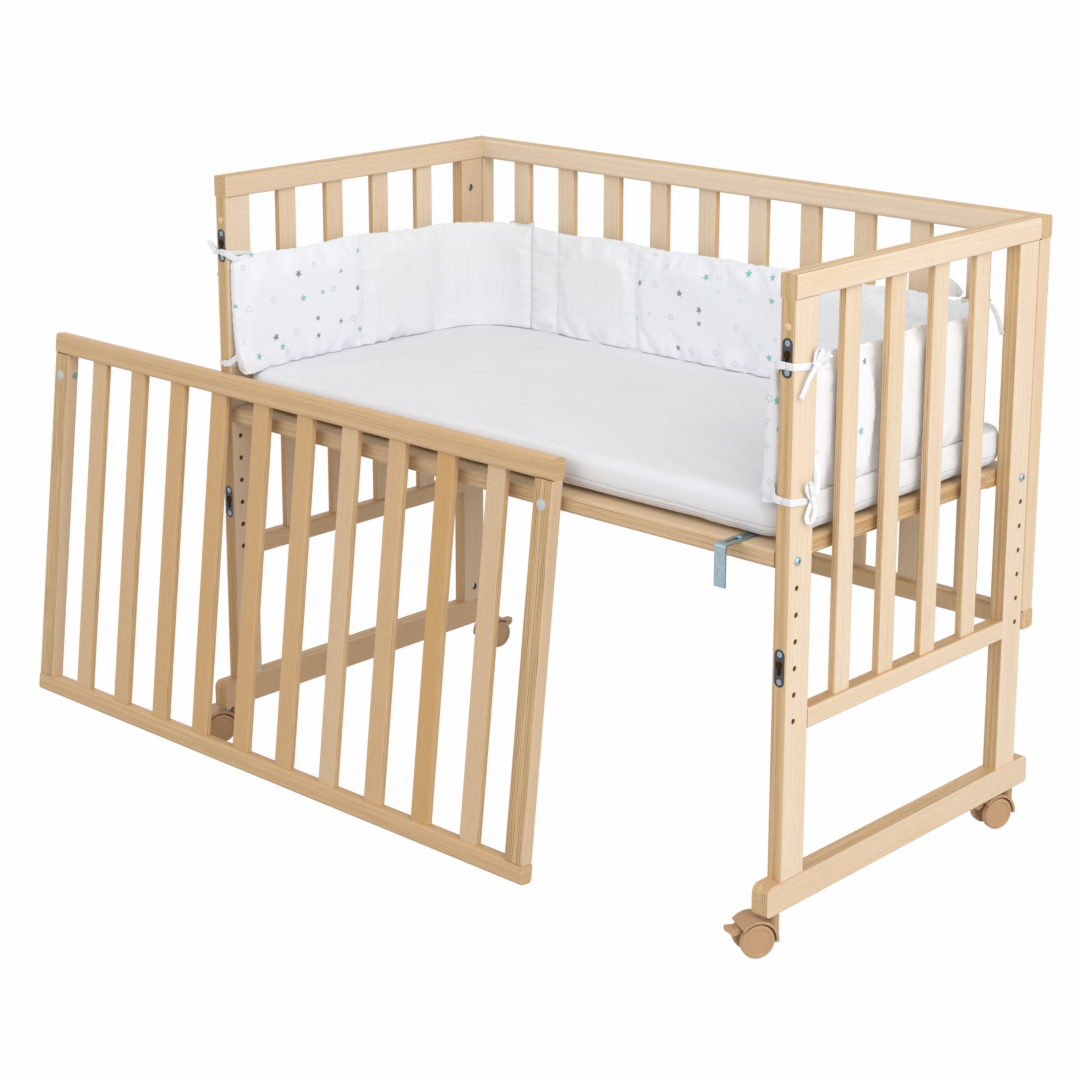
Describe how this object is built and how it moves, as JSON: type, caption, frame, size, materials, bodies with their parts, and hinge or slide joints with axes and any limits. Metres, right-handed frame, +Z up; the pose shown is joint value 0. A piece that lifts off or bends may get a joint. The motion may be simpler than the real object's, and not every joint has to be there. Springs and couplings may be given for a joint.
{
  "type": "bedside sleeper crib",
  "caption": "Wooden bedside sleeper crib on braked swivel casters, with a mattress, a U-shaped padded bumper, a bed hook and its open side's barred panel leant against it.",
  "frame": {"origin": "middle of the underside of the whole object's bounding box, on the floor, the leaning panel included", "axes": "X along the crib's long side, +Y from the open side to the barred back, +Z up; the open side that stands against the bed faces -Y"},
  "size_m": [1.2818, 0.614, 0.7725],
  "materials": {
    "natural_wood": "pale beech and pine, glued up in layers, matt clear lacquer",
    "zinc_steel": "bright zinc plated",
    "dark_steel": "dark passivated",
    "grey_plastic": "matt",
    "tan_plastic": "fine satin, moulded",
    "mattress_cloth": "smooth white cotton jersey",
    "bumper_cloth": "white cotton with small plain stars, and white mesh",
    "tape_cloth": "white cotton tape"
  },
  "bodies": {
    "crib": {"left_top_rail": "natural_wood", "left_front_post": "natural_wood", "left_back_post": "natural_wood", "left_lower_rail": "natural_wood", "left_slats": "natural_wood", "left_foot": "natural_wood", "base_left_rail": "natural_wood", "right_top_rail": "natural_wood", "right_front_post": "natural_wood", "right_back_post": "natural_wood", "right_lower_rail": "natural_wood", "right_slats": "natural_wood", "right_foot": "natural_wood", "base_right_rail": "natural_wood", "back_top_rail": "natural_wood", "back_bottom_rail": "natural_wood", "back_left_stile": "natural_wood", "back_right_stile": "natural_wood", "back_slats": "natural_wood", "base_front_rail": "natural_wood", "base_back_rail": "natural_wood", "base_slats": "natural_wood", "level_bolts": "zinc_steel", "barrel_nuts": "zinc_steel", "back_panel_bolts": "zinc_steel", "foot_bolts": "zinc_steel", "keyhole_plates": "dark_steel", "keyhole_screws": "zinc_steel", "post_caps": "natural_wood", "hook_screw": "zinc_steel", "mattress": "mattress_cloth", "bumper": "bumper_cloth", "bumper_ties": "tape_cloth", "caster_sockets": "zinc_steel"},
    "loose_panel": {"panel_top_rail": "natural_wood", "panel_bottom_rail": "natural_wood", "panel_left_stile": "natural_wood", "panel_right_stile": "natural_wood", "panel_slats": "natural_wood", "panel_cover_caps": "grey_plastic", "panel_barrel_nuts": "zinc_steel", "panel_hanging_studs": "zinc_steel"},
    "hook": {"bed_hook": "zinc_steel"},
    "swivel_front_right": {"caster_front_right_hood": "tan_plastic", "caster_front_right_pins": "zinc_steel"},
    "wheels_front_right": {"caster_front_right_wheels": "tan_plastic"},
    "brake_front_right": {"caster_front_right_brake": "tan_plastic"},
    "swivel_front_left": {"caster_front_left_hood": "tan_plastic", "caster_front_left_pins": "zinc_steel"},
    "wheels_front_left": {"caster_front_left_wheels": "tan_plastic"},
    "brake_front_left": {"caster_front_left_brake": "tan_plastic"},
    "swivel_back_right": {"caster_back_right_hood": "tan_plastic", "caster_back_right_pins": "zinc_steel"},
    "wheels_back_right": {"caster_back_right_wheels": "tan_plastic"},
    "brake_back_right": {"caster_back_right_brake": "tan_plastic"},
    "swivel_back_left": {"caster_back_left_hood": "tan_plastic", "caster_back_left_pins": "zinc_steel"},
    "wheels_back_left": {"caster_back_left_wheels": "tan_plastic"},
    "brake_back_left": {"caster_back_left_brake": "tan_plastic"}
  },
  "joints": [
    {"name": "panel_tip", "type": "hinge", "parent": "crib", "child": "loose_panel", "pos_m": [-0.16595, -0.2921, 0.005], "axis": [1, 0, 0], "range_deg": [0, 6.5]},
    {"name": "hook_reach", "type": "slide", "parent": "crib", "child": "hook", "axis": [0, -1, 0], "range_m": [-0.022, 0.0165]},
    {"name": "swivel_front_right_turn", "type": "hinge", "parent": "crib", "child": "swivel_front_right", "pos_m": [0.62455, -0.2286, 0.049], "axis": [0, 0, 1], "continuous": true},
    {"name": "wheels_front_right_roll", "type": "hinge", "parent": "swivel_front_right", "child": "wheels_front_right", "pos_m": [0.61291, -0.24959, 0.02], "axis": [0.8746, -0.4848, 0], "continuous": true},
    {"name": "brake_front_right_press", "type": "hinge", "parent": "swivel_front_right", "child": "brake_front_right", "pos_m": [0.60305, -0.26739, 0.03175], "axis": [0.8746, -0.4848, 0], "range_deg": [0, 18]},
    {"name": "swivel_front_left_turn", "type": "hinge", "parent": "crib", "child": "swivel_front_left", "pos_m": [-0.29845, -0.2286, 0.049], "axis": [0, 0, 1], "continuous": true},
    {"name": "wheels_front_left_roll", "type": "hinge", "parent": "swivel_front_left", "child": "wheels_front_left", "pos_m": [-0.30859, -0.25035, 0.02], "axis": [0.9063, -0.4226, 0], "continuous": true},
    {"name": "brake_front_left_press", "type": "hinge", "parent": "swivel_front_left", "child": "brake_front_left", "pos_m": [-0.31719, -0.26879, 0.03175], "axis": [0.9063, -0.4226, 0], "range_deg": [0, 18]},
    {"name": "swivel_back_right_turn", "type": "hinge", "parent": "crib", "child": "swivel_back_right", "pos_m": [0.62455, 0.2484, 0.049], "axis": [0, 0, 1], "continuous": true},
    {"name": "wheels_back_right_roll", "type": "hinge", "parent": "swivel_back_right", "child": "wheels_back_right", "pos_m": [0.61674, 0.22571, 0.02], "axis": [0.9455, -0.3256, 0], "continuous": true},
    {"name": "brake_back_right_press", "type": "hinge", "parent": "swivel_back_right", "child": "brake_back_right", "pos_m": [0.61011, 0.20647, 0.03175], "axis": [0.9455, -0.3256, 0], "range_deg": [0, 18]},
    {"name": "swivel_back_left_turn", "type": "hinge", "parent": "crib", "child": "swivel_back_left", "pos_m": [-0.29845, 0.2484, 0.049], "axis": [0, 0, 1], "continuous": true},
    {"name": "wheels_back_left_roll", "type": "hinge", "parent": "swivel_back_left", "child": "wheels_back_left", "pos_m": [-0.29552, 0.27222, 0.02], "axis": [-0.9925, 0.1219, 0], "continuous": true},
    {"name": "brake_back_left_press", "type": "hinge", "parent": "swivel_back_left", "child": "brake_back_left", "pos_m": [-0.29304, 0.29242, 0.03175], "axis": [-0.9925, 0.1219, 0], "range_deg": [0, 18]}
  ]
}
